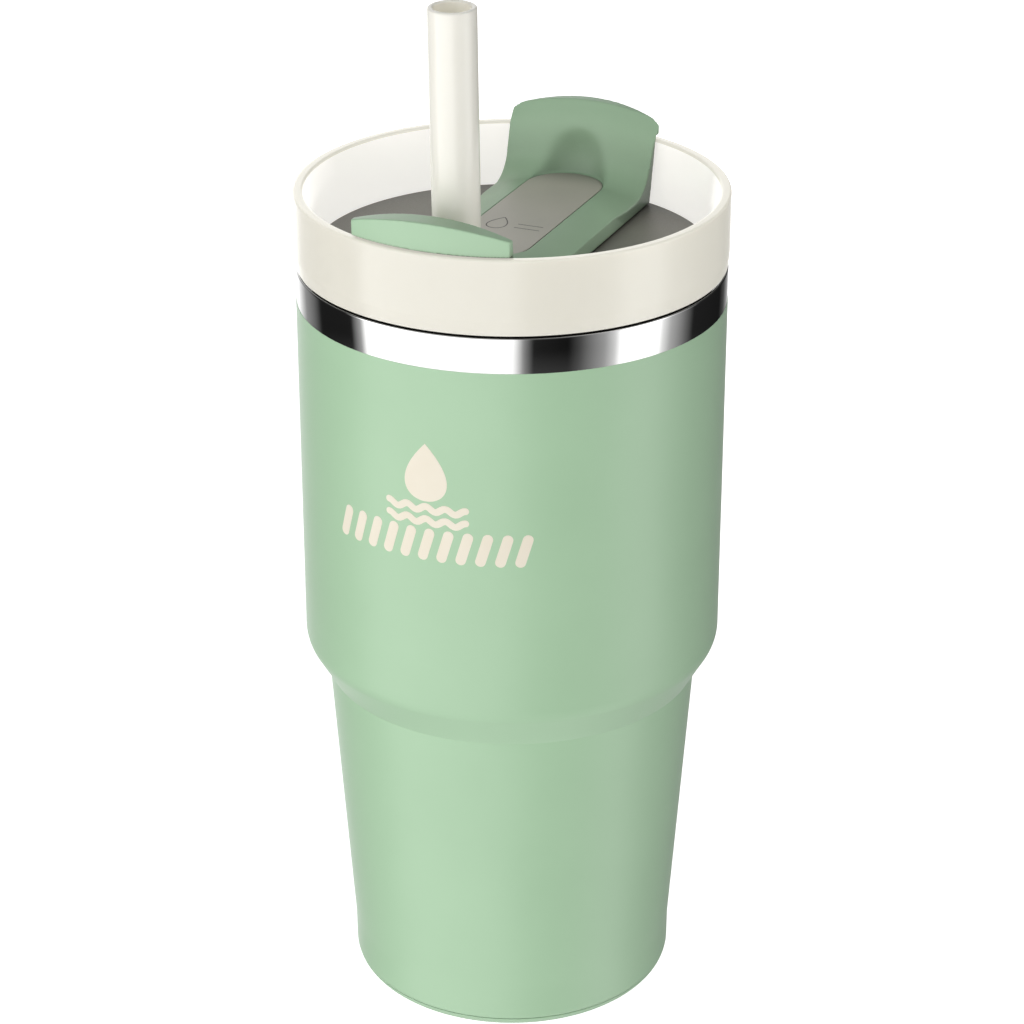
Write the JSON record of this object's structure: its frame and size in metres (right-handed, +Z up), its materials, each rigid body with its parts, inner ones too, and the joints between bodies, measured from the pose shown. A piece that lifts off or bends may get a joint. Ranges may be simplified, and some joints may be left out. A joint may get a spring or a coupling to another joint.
{
  "type": "insulated travel mug",
  "caption": "Stepped double-wall steel tumbler with a screw lid, a rotating cover with thumb tab and fin, and a straw.",
  "frame": {"origin": "centre of the base, on the table", "axes": "+Z up along the mug's axis; the lid's bar lies along Y, with the straw and fin towards -Y and the thumb tab towards +Y"},
  "size_m": [0.09, 0.09, 0.2284],
  "materials": {
    "powder_coat": "satin powder coat",
    "steel": "polished stainless steel",
    "solder_glass": "dark solder glass",
    "getter_metal": "sintered",
    "cream_plastic": "glossy translucent cream",
    "grey_plastic": "satin warm grey",
    "sage_plastic": "satin sage green",
    "badge_plastic": "satin light warm grey",
    "clear_silicone": "frosted silicone",
    "brass": "turned",
    "straw_plastic": "translucent off-white"
  },
  "bodies": {
    "vessel": {"outer_shell": "powder_coat", "base_cup": "powder_coat", "seal_bead": "solder_glass", "seal_cap": "steel", "inner_liner": "steel", "getter_cup": "steel", "getter_pellet": "getter_metal"},
    "lid_seal": {"lid_gasket": "clear_silicone"},
    "lid": {"lid_collar": "cream_plastic", "lid_deck": "grey_plastic", "pivot_insert": "brass", "pivot_washer": "steel", "pivot_screw": "steel"},
    "cover": {"rotating_cover": "sage_plastic", "badge_plate": "badge_plastic", "hub_seal": "clear_silicone", "opening_seal": "clear_silicone", "straw_grommet": "clear_silicone"},
    "straw": {"straw": "straw_plastic"}
  },
  "joints": [
    {"name": "lid_lift", "type": "slide", "parent": "vessel", "child": "lid_seal", "axis": [0, 0, 1], "range_m": [0, 0.0181]},
    {"name": "lid_turn", "type": "hinge", "parent": "lid_seal", "child": "lid", "pos_m": [0, 0, 0.1593], "axis": [0, 0, 1], "range_deg": [0, 540]},
    {"name": "cover_turn", "type": "hinge", "parent": "lid", "child": "cover", "pos_m": [0, 0, 0.16933], "axis": [0, 0, 1], "range_deg": [0, 34]},
    {"name": "straw_lift", "type": "slide", "parent": "cover", "child": "straw", "axis": [0, -0.0297, 0.9996], "range_m": [0, 0.21]}
  ],
  "couplings": [
    {"joint": "lid_lift", "follows": "lid_turn", "m_per_rad": 0.0019099}
  ]
}
